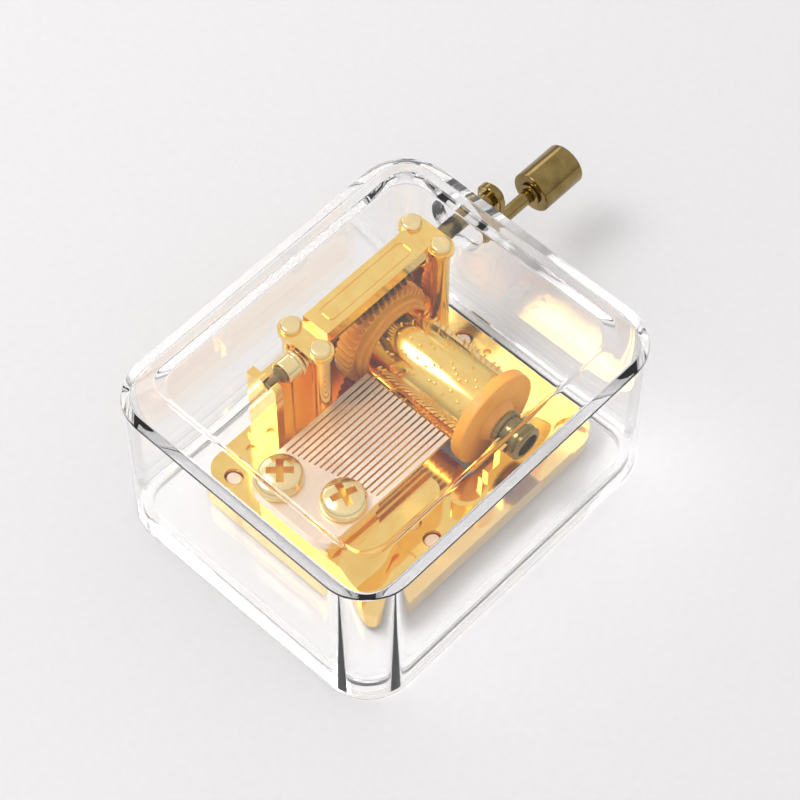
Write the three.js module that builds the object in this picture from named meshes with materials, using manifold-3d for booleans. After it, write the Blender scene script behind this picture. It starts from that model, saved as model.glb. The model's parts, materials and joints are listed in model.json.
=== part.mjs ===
// A hand-cranked cylinder music box: a comb and a pinned cylinder on a die-cast bedplate,
// screwed into a clear case, with a crank outside one end.
// Millimetres, +Z up. The origin is the centre of the case's underside.
// +X runs along the crank shaft towards the crank, and +Y points to the worm wheel's side.
import * as THREE from "three";
import { mergeVertices } from "three/addons/utils/BufferGeometryUtils.js";
import Module from "manifold-3d";

const wasm = await Module();
wasm.setup();

// Case
const CASE_LENGTH = 62;
const CASE_WIDTH = 52;
const CASE_HEIGHT = 32.5;
const CASE_CORNER = 8;
const INNER_CORNER = 4.4; // tighter than the outer corner, so the wall is thickest there
const LEAST_CORNER = 3;
const WALL = 2.4;
const BEVEL_RUN = 4.9; // how far the bevelled top edge reaches in over the case
const BEVEL_DROP = 3.5;
const BEVEL_SLOPE = Math.atan2(BEVEL_DROP, BEVEL_RUN);
const FLOOR = 1.6; // thickness of the case's base, which the cover stands on
const RIM_TOP = 3.5; // top of the locating rim inside the cover
const RIM_WIDTH = 1.2;
const CASE_FIT = 0.3; // gap between the rim and the cover's walls
const FOOT_CHAMFER = 0.4;
const SHAFT_HOLE = { radius: 4.7, y: 13.2, z: 21.3 };

// Axes of the crank shaft and of the cylinder
const SHAFT_Y = 13.5;
const SHAFT_Z = 21;
const DRUM_X = 12.4;
const DRUM_Z = 11.3;
const SHAFT_CENTRE = [0, SHAFT_Y, SHAFT_Z];
const CYLINDER_CENTRE = [DRUM_X, 0, DRUM_Z];
const TURN_FIT = 0.07; // radial clearance of a turning part in its bore
const PRESS_FIT = 0.02; // radial clearance of a part fixed in its bore

// Worm and wheel
const WHEEL_TEETH = 42;
const WHEEL_TIP = 8.5;
const WORM_TIP = 2.1;
const MESH_PLAY = 0.15; // radial play between a tip and the other part's root
const WHEEL_ROOT = SHAFT_Z - DRUM_Z - WORM_TIP - MESH_PLAY;
const WORM_ROOT = SHAFT_Z - DRUM_Z - WHEEL_TIP - MESH_PLAY;
const WHEEL_PITCH_RADIUS = (WHEEL_TIP + WHEEL_ROOT) / 2;
const WORM_PITCH_RADIUS = (WORM_TIP + WORM_ROOT) / 2;
const WORM_LEAD = (2 * Math.PI * WHEEL_PITCH_RADIUS) / WHEEL_TEETH;
const WHEEL_FRONT = 11.6;
const WHEEL_BACK = 14.7;
const WORM_X0 = 6.4;
const WORM_X1 = 18.4;
const SHAFT_RADIUS = 1.35;

// Cylinder
const DRUM_RADIUS = 6.2;
const DRUM_FRONT = -8;
const DRUM_BACK = 9.9;
const PIN_TIP = 6.7;
const FLANGE_RADIUS = 7.75;
const ARBOR_RADIUS = 1;

// Bedplate
const BED = { x0: -20, x1: 25.8, y0: -17.2, y1: 18.4, corner: 4 };
const BED_BOTTOM = 1.9;
const BED_TOP = 5;
const COLUMN_X = [-2.3, 22.8];
const COLUMN_Y = [10.8, 16.7];
const COLUMN_RADIUS = 1.4;
const COLUMN_TOP = 23;
const BRIDGE_TOP = 25.4;
const FLANGE_THICKNESS = 1; // of the bridge's flanges, which the columns' spigots pass through
const SPIGOT_RADIUS = 1.2;
const TAPPED_RADIUS = 1.5;
const FORK = { y0: -13.6, y1: -12.5, gap: 2.3 };
const MOUNT_HOLES = [
  [-17.2, 13.9],
  [-5.6, -13.8],
  [23, 6.1],
];

// Comb
const TOOTH_COUNT = 18;
const COMB = { x0: -19.7, tip: 5.35, y0: -7.3, y1: 9.1, corner: 3 };
const COMB_TOP = 11.7;
const COMB_SEAT = 9.7;
const TOOTH_UNDERSIDE = 10.95;
const SLIT = 0.28;
const ROOT_BASS = -12.5; // X of the slit's end at the +Y edge, where the teeth are longest
const ROOT_TREBLE = -8.7;
const COMB_SCREWS = [
  [-16.2, 5.6],
  [-12.85, -3.75],
];
const SCREW_HEAD_RADIUS = 3.5;

// Crank
const ARM_X0 = 36.2;
const ARM_X1 = 37.4;
const CRANK_RADIUS = 7.8;
const CRANK_PIN_RADIUS = 1.1;
const KNOB_X0 = 46;
const KNOB_X1 = 54.2;
const KNOB_RADIUS = 3.45;
const KNOB_CENTRE = [0, SHAFT_Y, SHAFT_Z - CRANK_RADIUS];

const ROUND = 24; // facets of a full circle
const SMALL_ROUND = 16; // facets of a small one

const materials = {
  acrylic: new THREE.MeshStandardMaterial({
    color: 0xf4f6f6,
    roughness: 0.03,
    metalness: 0,
    transparent: true,
    opacity: 0.25,
  }),
  gold: new THREE.MeshStandardMaterial({ color: 0xf0b23c, roughness: 0.22, metalness: 1 }),
  pale_gold: new THREE.MeshStandardMaterial({ color: 0xe6c98a, roughness: 0.25, metalness: 1 }),
  brass: new THREE.MeshStandardMaterial({ color: 0xb99a58, roughness: 0.25, metalness: 1 }),
  steel: new THREE.MeshStandardMaterial({ color: 0xb9aea6, roughness: 0.35, metalness: 1 }),
  amber: new THREE.MeshStandardMaterial({ color: 0xe79a33, roughness: 0.4, metalness: 0 }),
  lead: new THREE.MeshStandardMaterial({ color: 0x6f7174, roughness: 0.6, metalness: 1 }),
};

// --- Solids -------------------------------------------------------------------------------

// A closed three.js geometry as a solid that can be joined and cut.
function solid(geometry) {
  const bare = geometry.clone();
  bare.deleteAttribute("normal");
  bare.deleteAttribute("uv");
  const merged = mergeVertices(bare, 1e-4);
  const vertProperties = new Float32Array(merged.attributes.position.array);
  const triVerts = new Uint32Array(merged.index.array);
  return new wasm.Manifold(new wasm.Mesh({ numProp: 3, vertProperties, triVerts }));
}

function box(x0, x1, y0, y1, z0, z1) {
  const geometry = new THREE.BoxGeometry(x1 - x0, y1 - y0, z1 - z0);
  geometry.translate((x0 + x1) / 2, (y0 + y1) / 2, (z0 + z1) / 2);
  return solid(geometry);
}

// Renames the coordinates of a shape so that its Y axis becomes X or Z.
function alignAxis(geometry, axis) {
  const turn = new THREE.Matrix4();
  if (axis === "x") turn.set(0, 1, 0, 0, 0, 0, 1, 0, 1, 0, 0, 0, 0, 0, 0, 1);
  if (axis === "z") turn.set(0, 0, 1, 0, 1, 0, 0, 0, 0, 1, 0, 0, 0, 0, 0, 1);
  return geometry.applyMatrix4(turn);
}

// A turned part: profile holds [radius, distance along the axis], starting and ending on the axis.
function turned(profile, axis, centre, facets = ROUND) {
  const points = profile.map(([radius, along]) => new THREE.Vector2(radius, along));
  const geometry = alignAxis(new THREE.LatheGeometry(points, facets), axis);
  geometry.translate(...centre);
  return solid(geometry);
}

// A plain round bar from one distance to another along an axis.
function bar(radius, from, to, axis, centre, facets = ROUND) {
  const profile = [
    [0, from],
    [radius, from],
    [radius, to],
    [0, to],
  ];
  return turned(profile, axis, centre, facets);
}

// A slim bar standing upright at a place.
function pillar(radius, z0, z1, [x, y]) {
  return bar(radius, z0, z1, "z", [x, y, 0], SMALL_ROUND);
}

// The outline of a rectangle with round corners.
function roundedOutline(x0, x1, y0, y1, radius) {
  const shape = new THREE.Shape();
  shape.moveTo(x0 + radius, y0);
  shape.lineTo(x1 - radius, y0);
  shape.absarc(x1 - radius, y0 + radius, radius, -Math.PI / 2, 0);
  shape.lineTo(x1, y1 - radius);
  shape.absarc(x1 - radius, y1 - radius, radius, 0, Math.PI / 2);
  shape.lineTo(x0 + radius, y1);
  shape.absarc(x0 + radius, y1 - radius, radius, Math.PI / 2, Math.PI);
  shape.lineTo(x0, y0 + radius);
  shape.absarc(x0 + radius, y0 + radius, radius, Math.PI, 1.5 * Math.PI);
  return shape;
}

function prism(shape, z0, z1, curveSegments = 4) {
  const options = { depth: z1 - z0, bevelEnabled: false, curveSegments };
  const geometry = new THREE.ExtrudeGeometry(shape, options);
  geometry.translate(0, 0, z0);
  return solid(geometry);
}

// A polygon in the XZ plane made into a plate from y0 to y1.
function uprightPlate(corners, y0, y1) {
  const shape = new THREE.Shape(corners.map(([x, z]) => new THREE.Vector2(x, z)));
  const geometry = new THREE.ExtrudeGeometry(shape, { depth: y1 - y0, bevelEnabled: false });
  geometry.rotateX(Math.PI / 2);
  geometry.translate(0, y1, 0);
  return solid(geometry);
}

// A closed skin through rings of equally many points, with a fan of faces over each end.
function loft(rings) {
  const count = rings[0].length;
  const positions = rings.flat(2);
  const index = [];
  for (let ring = 0; ring + 1 < rings.length; ring++) {
    for (let i = 0; i < count; i++) {
      const a = ring * count + i;
      const b = ring * count + ((i + 1) % count);
      index.push(a, b, b + count, a, b + count, a + count);
    }
  }
  const first = positions.length / 3;
  for (const ring of [rings[0], rings[rings.length - 1]]) {
    for (let axis = 0; axis < 3; axis++) {
      positions.push(ring.reduce((sum, point) => sum + point[axis], 0) / count);
    }
  }
  const last = (rings.length - 1) * count;
  for (let i = 0; i < count; i++) {
    const next = (i + 1) % count;
    index.push(first, next, i);
    index.push(first + 1, last + i, last + next);
  }
  const vertProperties = new Float32Array(positions);
  const triVerts = new Uint32Array(index);
  return new wasm.Manifold(new wasm.Mesh({ numProp: 3, vertProperties, triVerts }));
}

function join(...pieces) {
  return pieces.reduce((whole, piece) => whole.add(piece));
}

function cut(whole, ...pieces) {
  return pieces.reduce((rest, piece) => rest.subtract(piece), whole);
}

// --- Case ---------------------------------------------------------------------------------

// One level of the case's outline, pulled in by inset.
function caseRing(inset, z, radius = Math.max(CASE_CORNER - inset, LEAST_CORNER)) {
  const x = CASE_LENGTH / 2 - inset;
  const y = CASE_WIDTH / 2 - inset;
  const outline = roundedOutline(-x, x, -y, y, radius).getPoints(4);
  if (outline[0].distanceTo(outline[outline.length - 1]) < 1e-9) outline.pop();
  return outline.map((point) => [point.x, point.y, z]);
}

// A box with a bevelled top edge. Its faces lie a thickness inside the case's outer faces,
// measured square to each face, so the bevelled wall is as thick as the upright one.
function bevelledBox(thickness, z0, corner) {
  const shoulderLift = thickness * Math.tan((Math.PI / 2 - BEVEL_SLOPE) / 2);
  const topInset = BEVEL_RUN + thickness * Math.tan(BEVEL_SLOPE / 2);
  return loft([
    caseRing(thickness, z0, corner),
    caseRing(thickness, CASE_HEIGHT - BEVEL_DROP - shoulderLift, corner),
    caseRing(topInset, CASE_HEIGHT - thickness, corner),
  ]);
}

function caseCover() {
  const middle = [CASE_LENGTH / 2, SHAFT_HOLE.y, SHAFT_HOLE.z];
  const hole = bar(SHAFT_HOLE.radius, -2 * WALL, WALL, "x", middle);
  return cut(bevelledBox(0, FLOOR), bevelledBox(WALL, 0, INNER_CORNER), hole);
}

// The base has a locating rim and carries the bedplate on three bosses.
function caseBase() {
  const plate = loft([
    caseRing(FOOT_CHAMFER, 0),
    caseRing(0, FOOT_CHAMFER),
    caseRing(0, FLOOR),
  ]);
  const rimOuter = loft([caseRing(WALL + CASE_FIT, 1), caseRing(WALL + CASE_FIT, RIM_TOP)]);
  const rimInset = WALL + CASE_FIT + RIM_WIDTH;
  const rimInner = loft([caseRing(rimInset, FLOOR), caseRing(rimInset, RIM_TOP + 1)]);
  const bosses = MOUNT_HOLES.map((place) => pillar(2.6, 1, BED_BOTTOM, place));
  const bores = MOUNT_HOLES.map((place) => pillar(TAPPED_RADIUS, -1, BED_TOP, place));
  const counterbores = MOUNT_HOLES.map((place) => pillar(2.3, -1, 0.95, place));
  return cut(join(plate, cut(rimOuter, rimInner), ...bosses), ...bores, ...counterbores);
}

function mountingScrew([x, y]) {
  const profile = [
    [0, 0.15],
    [1.9, 0.15],
    [2.2, 0.4],
    [2.2, 0.9],
    [1.4, 0.9],
    [1.4, 4.1],
    [1.1, 4.5],
    [0, 4.5],
  ];
  const slot = box(x - 3, x + 3, y - 0.28, y + 0.28, 0, 0.5);
  return cut(turned(profile, "z", [x, y, 0], SMALL_ROUND), slot);
}

// --- Bedplate -----------------------------------------------------------------------------

// The comb's seat ends short of the slanted line of the slits.
function combSeat() {
  const gap = 0.9;
  const shape = new THREE.Shape();
  shape.moveTo(BED.x0 + 1, COMB.y0 + 0.4);
  shape.lineTo(ROOT_TREBLE - gap, COMB.y0 + 0.4);
  shape.lineTo(ROOT_BASS - gap, COMB.y1 - 0.4);
  shape.lineTo(BED.x0 + 3, COMB.y1 - 0.4);
  shape.lineTo(BED.x0 + 1, COMB.y1 - 2.4);
  return prism(shape, BED_TOP - 1, COMB_SEAT);
}

// The floor is a tray turned upside down: a plate with a skirt and three screw feet below it.
function bedplateFloor() {
  const { x0, x1, y0, y1, corner } = BED;
  const skirt = 1.6;
  const inner = corner - skirt;
  const plate = prism(roundedOutline(x0, x1, y0, y1, corner), BED_BOTTOM, BED_TOP);
  const hollow = roundedOutline(x0 + skirt, x1 - skirt, y0 + skirt, y1 - skirt, inner);
  const feet = MOUNT_HOLES.map((place) => pillar(2.5, BED_BOTTOM, BED_TOP, place));
  return join(cut(plate, prism(hollow, BED_BOTTOM - 1, BED_TOP - 1.2)), ...feet);
}

// Two columns with spigots for the bridge, and the wall between them that holds a shaft bush.
function columnPair(x) {
  const columns = COLUMN_Y.map((y) => pillar(COLUMN_RADIUS, BED_TOP - 1, COLUMN_TOP, [x, y]));
  const spigotTop = COLUMN_TOP + FLANGE_THICKNESS + 0.5;
  const spigots = COLUMN_Y.map((y) => pillar(SPIGOT_RADIUS, COLUMN_TOP - 1, spigotTop, [x, y]));
  const web = box(x - 1, x + 1, COLUMN_Y[0], COLUMN_Y[1], BED_TOP - 1, COLUMN_TOP);
  return join(...columns, ...spigots, web);
}

// The upright plate whose notch takes the thin front end of the shaft.
function thrustPost() {
  const [x0, x1] = [-10.7, -9.3];
  const [y0, y1] = [SHAFT_Y - 1.9, SHAFT_Y + 3.9];
  const top = SHAFT_Z - 0.1;
  const notchRadius = 0.75;
  const plate = box(x0, x1, y0, y1, BED_TOP - 1, top);
  const foot = box(x0 - 0.6, x1 + 0.6, y0, y1, BED_TOP - 1, BED_TOP + 0.8);
  const ears = [-1.2, 1.2].map((dy) =>
    bar(0.7, x0, x1, "x", [0, SHAFT_Y + dy, top], SMALL_ROUND),
  );
  const notchFloor = bar(notchRadius, x0 - 1, x1 + 1, "x", SHAFT_CENTRE, SMALL_ROUND);
  const [left, right] = [SHAFT_Y - notchRadius, SHAFT_Y + notchRadius];
  const notch = box(x0 - 1, x1 + 1, left, right, SHAFT_Z, SHAFT_Z + 3);
  return cut(join(plate, foot, ...ears), notchFloor, notch);
}

// The forked plate that grips the groove of the cylinder's front bush.
function bearingFork() {
  const x = DRUM_X;
  const outline = [
    [x - 6.2, BED_TOP - 1],
    [x + 7.8, BED_TOP - 1],
    [x + 7.8, BED_TOP + 0.9],
    [x + 3.9, DRUM_Z + 0.9],
    [x - 3.9, DRUM_Z + 0.9],
    [x - 3.9, DRUM_Z - 2.4],
    [x - 6.2, DRUM_Z - 2.4],
  ];
  const [y0, y1] = [FORK.y0 - 1, FORK.y1 + 1];
  const slot = box(x - FORK.gap, x + FORK.gap, y0, y1, DRUM_Z, DRUM_Z + 5);
  const seat = bar(FORK.gap, y0, y1, "y", CYLINDER_CENTRE);
  return cut(uprightPlate(outline, FORK.y0, FORK.y1), slot, seat);
}

// A raised ledge along the comb's treble side, with one rounded end.
function combLedge() {
  const [x0, x1, y0, y1] = [BED.x0 + 1, 0.2, -11.6, COMB.y0 + 0.5];
  const corner = 2.4;
  const shape = new THREE.Shape();
  shape.moveTo(x0, y0);
  shape.lineTo(x1 - corner, y0);
  shape.absarc(x1 - corner, y0 + corner, corner, -Math.PI / 2, 0);
  shape.lineTo(x1, y1);
  shape.lineTo(x0, y1);
  return prism(shape, BED_TOP - 1, 8.4);
}

// A low cup-shaped wall beside the ledge's rounded end.
function cupWall() {
  const centre = [3.2, -12.4];
  const ring = pillar(3.3, BED_TOP - 1, BED_TOP + 2.2, centre);
  const hollow = pillar(2.5, BED_TOP, BED_TOP + 3, centre);
  const mouth = box(-1, 7, -12, -8, BED_TOP, BED_TOP + 3);
  return cut(ring, hollow, mouth);
}

function bedplate() {
  const sideWall = box(COLUMN_X[0], COLUMN_X[1], 16.3, 17.7, BED_TOP - 1, 14.2);
  const link = box(-10, COLUMN_X[0], 16, 17.3, BED_TOP - 1, 18);
  const body = join(
    bedplateFloor(),
    combSeat(),
    combLedge(),
    columnPair(COLUMN_X[0]),
    columnPair(COLUMN_X[1]),
    thrustPost(),
    bearingFork(),
    cupWall(),
    sideWall,
    link,
  );
  const drumWell = box(6.2, 18.6, -10.4, 15.6, 0, BED_TOP + 1);
  const mounts = MOUNT_HOLES.map((place) => pillar(TAPPED_RADIUS, 0, BED_TOP + 1, place));
  const tapped = COMB_SCREWS.map((place) => pillar(TAPPED_RADIUS, 0, COMB_SEAT + 1, place));
  const bushBores = COLUMN_X.map((x) => bar(1.85, x - 3, x + 3, "x", SHAFT_CENTRE, SMALL_ROUND));
  const rearBore = bar(1.9, 15, 19, "y", CYLINDER_CENTRE, SMALL_ROUND);
  const dimples = [
    pillar(0.8, BED_TOP - 0.5, BED_TOP + 0.5, [-12.7, 15.3]),
    pillar(0.6, BED_TOP - 0.5, BED_TOP + 0.5, [23.6, 1.8]),
    pillar(2.3, BED_TOP - 0.4, BED_TOP + 0.5, [-11.5, -13.4]),
    pillar(2.4, BED_TOP - 0.7, BED_TOP + 0.5, [21.6, -16]),
  ];
  return cut(body, drumWell, rearBore, ...mounts, ...tapped, ...bushBores, ...dimples);
}

// A channel over the worm, with a stadium-shaped flange at each end.
function wormBridge() {
  const flangeTop = COLUMN_TOP + FLANGE_THICKNESS;
  const holeRadius = SPIGOT_RADIUS + 0.05;
  const halfWidth = 2.4;
  const middle = SHAFT_Y + 0.2;
  const [y0, y1] = [middle - halfWidth, middle + halfWidth];
  const channel = box(-0.4, 20.6, y0, y1, COLUMN_TOP, BRIDGE_TOP);
  const hollow = box(0.6, 19.6, y0 + 0.7, y1 - 0.7, COLUMN_TOP - 1, BRIDGE_TOP - 0.9);
  const flanges = COLUMN_X.map((x) => {
    const outline = roundedOutline(x - 2, x + 2, COLUMN_Y[0] - 2, COLUMN_Y[1] + 1.9, 1.99);
    return prism(outline, COLUMN_TOP, flangeTop);
  });
  const tongue = box(20, 21.2, middle - 1.6, middle + 1.6, COLUMN_TOP, flangeTop);
  const holes = COLUMN_X.flatMap((x) =>
    COLUMN_Y.map((y) => pillar(holeRadius, COLUMN_TOP - 1, flangeTop + 1, [x, y])),
  );
  return cut(join(cut(join(channel, tongue), hollow), ...flanges), ...holes);
}

// The riveted-over head of a column's spigot.
function spigotHead(x, y) {
  const base = COLUMN_TOP + FLANGE_THICKNESS;
  const profile = [
    [0, base + 0.5],
    [1.25, base + 0.5],
    [1.25, base],
    [1.6, base],
    [1.6, base + 0.45],
    [1.35, base + 0.75],
    [0, base + 0.85],
  ];
  return turned(profile, "z", [x, y, 0], SMALL_ROUND);
}

// --- Comb ---------------------------------------------------------------------------------

const toothPitch = (COMB.y1 - COMB.y0) / TOOTH_COUNT;

function combOutline() {
  const { x0, tip, y0, y1, corner } = COMB;
  const shape = new THREE.Shape();
  shape.moveTo(x0 + corner, y0);
  shape.lineTo(tip, y0);
  shape.lineTo(tip, y1);
  shape.lineTo(x0 + corner, y1);
  shape.absarc(x0 + corner, y1 - corner, corner, Math.PI / 2, Math.PI);
  shape.lineTo(x0, y0 + corner);
  shape.absarc(x0 + corner, y0 + corner, corner, Math.PI, 1.5 * Math.PI);
  return shape;
}

function comb() {
  const undercut = new THREE.Shape();
  undercut.moveTo(ROOT_TREBLE - 0.5, COMB.y0 - 1);
  undercut.lineTo(COMB.tip + 1, COMB.y0 - 1);
  undercut.lineTo(COMB.tip + 1, COMB.y1 + 1);
  undercut.lineTo(ROOT_BASS - 0.5, COMB.y1 + 1);
  const slits = [];
  for (let i = 1; i < TOOTH_COUNT; i++) {
    const y = COMB.y0 + i * toothPitch;
    const root = ROOT_TREBLE + ((ROOT_BASS - ROOT_TREBLE) * i) / TOOTH_COUNT;
    slits.push(box(root, COMB.tip + 1, y - SLIT / 2, y + SLIT / 2, COMB_SEAT - 1, COMB_TOP + 1));
  }
  const holes = COMB_SCREWS.map((place) => pillar(1.6, COMB_SEAT - 1, COMB_TOP + 1, place));
  const blank = prism(combOutline(), COMB_SEAT, COMB_TOP);
  return cut(blank, prism(undercut, COMB_SEAT - 1, TOOTH_UNDERSIDE), ...slits, ...holes);
}

// A lead weight under one of the long bass teeth, counted from the +Y edge.
function tuningWeight(number) {
  const y = COMB.y1 - (number - 0.5) * toothPitch;
  const x1 = COMB.tip - 1.15;
  const x0 = x1 - 5.4 + number * 0.6;
  const half = (toothPitch - SLIT) / 2 - 0.03;
  const depth = 1.6 - number * 0.15;
  return box(x0, x1, y - half, y + half, TOOTH_UNDERSIDE - depth, TOOTH_UNDERSIDE);
}

function combScrew([x, y]) {
  const top = COMB_TOP + 2.3;
  const profile = [
    [0, BED_TOP],
    [1.1, BED_TOP],
    [1.4, BED_TOP + 0.5],
    [1.4, COMB_TOP],
    [SCREW_HEAD_RADIUS, COMB_TOP],
    [SCREW_HEAD_RADIUS, COMB_TOP + 1],
    [3.2, COMB_TOP + 1.65],
    [2.4, COMB_TOP + 2.15],
    [1.3, top],
    [0, top],
  ];
  const reach = 1.75;
  const half = 0.4;
  const depth = 1.2;
  const slotX = box(x - reach, x + reach, y - half, y + half, top - depth, top + 1);
  const slotY = box(x - half, x + half, y - reach, y + reach, top - depth, top + 1);
  return cut(turned(profile, "z", [x, y, 0]), slotX, slotY);
}

// --- Cylinder -----------------------------------------------------------------------------

// Where the pins stand: a few notes for each tooth, spread round the cylinder.
function pinPlaces() {
  const places = [];
  for (let tooth = 0; tooth < TOOTH_COUNT; tooth++) {
    const notes = 2 + (tooth % 3);
    for (let note = 0; note < notes; note++) {
      const turn = (note / notes + 0.137 * tooth * tooth + 0.061 * tooth) % 1;
      places.push({ y: COMB.y0 + (tooth + 0.5) * toothPitch, angle: 2 * Math.PI * turn });
    }
  }
  return places;
}

function cylinderBarrel() {
  const tube = bar(DRUM_RADIUS, DRUM_FRONT, DRUM_BACK, "y", CYLINDER_CENTRE, 36);
  const bore = bar(DRUM_RADIUS - 0.6, DRUM_FRONT - 1, DRUM_BACK + 1, "y", CYLINDER_CENTRE, 32);
  const thickness = 0.32;
  const foot = DRUM_RADIUS - 0.35;
  const pins = pinPlaces().map(({ y, angle }) => {
    const geometry = new THREE.BoxGeometry(PIN_TIP - foot, thickness, thickness);
    geometry.translate((PIN_TIP + foot) / 2, 0, 0);
    geometry.rotateY(angle);
    geometry.translate(DRUM_X, y, DRUM_Z);
    return solid(geometry);
  });
  return join(cut(tube, bore), ...pins);
}

// One level of the worm wheel's toothed outline. The teeth slant to follow the worm's thread.
function wheelRing(y) {
  const slant = WORM_LEAD / (2 * Math.PI * WORM_PITCH_RADIUS) / WHEEL_PITCH_RADIUS;
  const corners = [
    [-0.3, WHEEL_ROOT],
    [-0.1, WHEEL_TIP],
    [0.1, WHEEL_TIP],
    [0.3, WHEEL_ROOT],
  ];
  const points = [];
  for (let tooth = 0; tooth < WHEEL_TEETH; tooth++) {
    for (const [share, radius] of corners) {
      const angle = (2 * Math.PI * (tooth + share)) / WHEEL_TEETH + (y - SHAFT_Y) * slant;
      points.push([DRUM_X + radius * Math.sin(angle), y, DRUM_Z + radius * Math.cos(angle)]);
    }
  }
  return points;
}

function cylinderWheel() {
  const rim = loft([wheelRing(WHEEL_FRONT), wheelRing(WHEEL_BACK)]);
  const profile = [
    [0, DRUM_BACK - 2],
    [5.3, DRUM_BACK - 2],
    [5.3, DRUM_BACK + 0.02],
    [6.6, DRUM_BACK + 0.02],
    [6.6, DRUM_BACK + 0.8],
    [7.2, DRUM_BACK + 0.8],
    [7.2, WHEEL_FRONT + 0.2],
    [0, WHEEL_FRONT + 0.2],
  ];
  const hub = turned(profile, "y", CYLINDER_CENTRE, 36);
  const dish = bar(6.3, WHEEL_BACK - 0.7, WHEEL_BACK + 1, "y", CYLINDER_CENTRE);
  const boss = bar(2.4, WHEEL_BACK - 1, WHEEL_BACK + 0.3, "y", CYLINDER_CENTRE, SMALL_ROUND);
  const bore = bar(ARBOR_RADIUS + PRESS_FIT, 0, 20, "y", CYLINDER_CENTRE, SMALL_ROUND);
  return cut(join(cut(join(rim, hub), dish), boss), bore);
}

function cylinderFlange() {
  const profile = [
    [0, -11.3],
    [2.7, -11.3],
    [3.5, -9.9],
    [FLANGE_RADIUS - 0.5, -9.9],
    [FLANGE_RADIUS, -9.5],
    [FLANGE_RADIUS, DRUM_FRONT - 0.4],
    [FLANGE_RADIUS - 0.4, DRUM_FRONT - 0.02],
    [5.3, DRUM_FRONT - 0.02],
    [5.3, DRUM_FRONT + 2],
    [0, DRUM_FRONT + 2],
  ];
  const bore = bar(ARBOR_RADIUS + PRESS_FIT, -14, 0, "y", CYLINDER_CENTRE, SMALL_ROUND);
  return cut(turned(profile, "y", CYLINDER_CENTRE, 36), bore);
}

// The front bush: a grooved collar that sits in the fork, hollow at its outer end.
function frontBush() {
  const [groove0, groove1] = [FORK.y0 - 0.2, FORK.y1 + 0.2];
  const profile = [
    [0, -15.6],
    [2.4, -15.6],
    [2.85, -15.3],
    [2.85, -14.95],
    [2.6, -14.85],
    [2.6, -14.6],
    [2.85, -14.5],
    [2.85, groove0],
    [FORK.gap - 0.1, groove0],
    [FORK.gap - 0.1, groove1],
    [2.8, groove1],
    [3, -11.6],
    [0, -11.6],
  ];
  const mouth = bar(1.9, -18, -14.4, "y", CYLINDER_CENTRE, SMALL_ROUND);
  const bore = bar(ARBOR_RADIUS + TURN_FIT, -15, -11, "y", CYLINDER_CENTRE, SMALL_ROUND);
  return cut(turned(profile, "y", CYLINDER_CENTRE), mouth, bore);
}

function rearBush() {
  const flange = bar(2.5, 15.9, 16.25, "y", CYLINDER_CENTRE, SMALL_ROUND);
  const sleeve = bar(1.85, 16, 18, "y", CYLINDER_CENTRE, SMALL_ROUND);
  const bore = bar(ARBOR_RADIUS + TURN_FIT, 13, 19, "y", CYLINDER_CENTRE, SMALL_ROUND);
  return cut(join(flange, sleeve), bore);
}

// --- Crank shaft --------------------------------------------------------------------------

// One cross-section of the single-start worm at x. A gap faces the wheel at the wheel's axis.
function wormRing(x) {
  const rise = WORM_TIP - WORM_ROOT;
  const gapMiddle = 0.23;
  const corners = [
    [0, 0],
    [0.115, 0],
    [gapMiddle, 0],
    [0.345, 0],
    [0.46, 0],
    [0.6, 0.75],
    [0.66, 1],
    [0.73, 1],
    [0.8, 1],
    [0.86, 0.75],
  ];
  return corners.map(([share, height]) => {
    const turns = share - gapMiddle + (x - DRUM_X) / WORM_LEAD;
    const angle = 2 * Math.PI * turns - Math.PI / 2;
    const radius = WORM_ROOT + rise * height;
    return [x, SHAFT_Y + radius * Math.cos(angle), SHAFT_Z + radius * Math.sin(angle)];
  });
}

function wormShaft() {
  const steps = Math.ceil(((WORM_X1 - WORM_X0) / WORM_LEAD) * 8);
  const rings = [];
  for (let step = 0; step <= steps; step++) {
    rings.push(wormRing(WORM_X0 + ((WORM_X1 - WORM_X0) * step) / steps));
  }
  const front = turned(
    [
      [0, -10.4],
      [0.45, -10.4],
      [0.65, -10.2],
      [0.65, -8.6],
      [SHAFT_RADIUS, -8],
      [SHAFT_RADIUS, WORM_X0 + 0.2],
      [0, WORM_X0 + 0.2],
    ],
    "x",
    SHAFT_CENTRE,
    SMALL_ROUND,
  );
  const rear = bar(SHAFT_RADIUS, WORM_X1 - 0.2, ARM_X0 + 0.5, "x", SHAFT_CENTRE, SMALL_ROUND);
  return join(loft(rings), front, rear);
}

// A ring round the shaft or the crank pin.
function shaftRing(inner, outer, x0, x1, z = SHAFT_Z) {
  const centre = [0, SHAFT_Y, z];
  const ring = bar(outer, x0, x1, "x", centre, SMALL_ROUND);
  return cut(ring, bar(inner, x0 - 1, x1 + 1, "x", centre, SMALL_ROUND));
}

function shaftBush(x) {
  const bore = SHAFT_RADIUS + TURN_FIT;
  return join(shaftRing(bore, 1.8, x - 1.6, x + 1.4), shaftRing(bore, 1.95, x - 2.1, x - 1.5));
}

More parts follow.
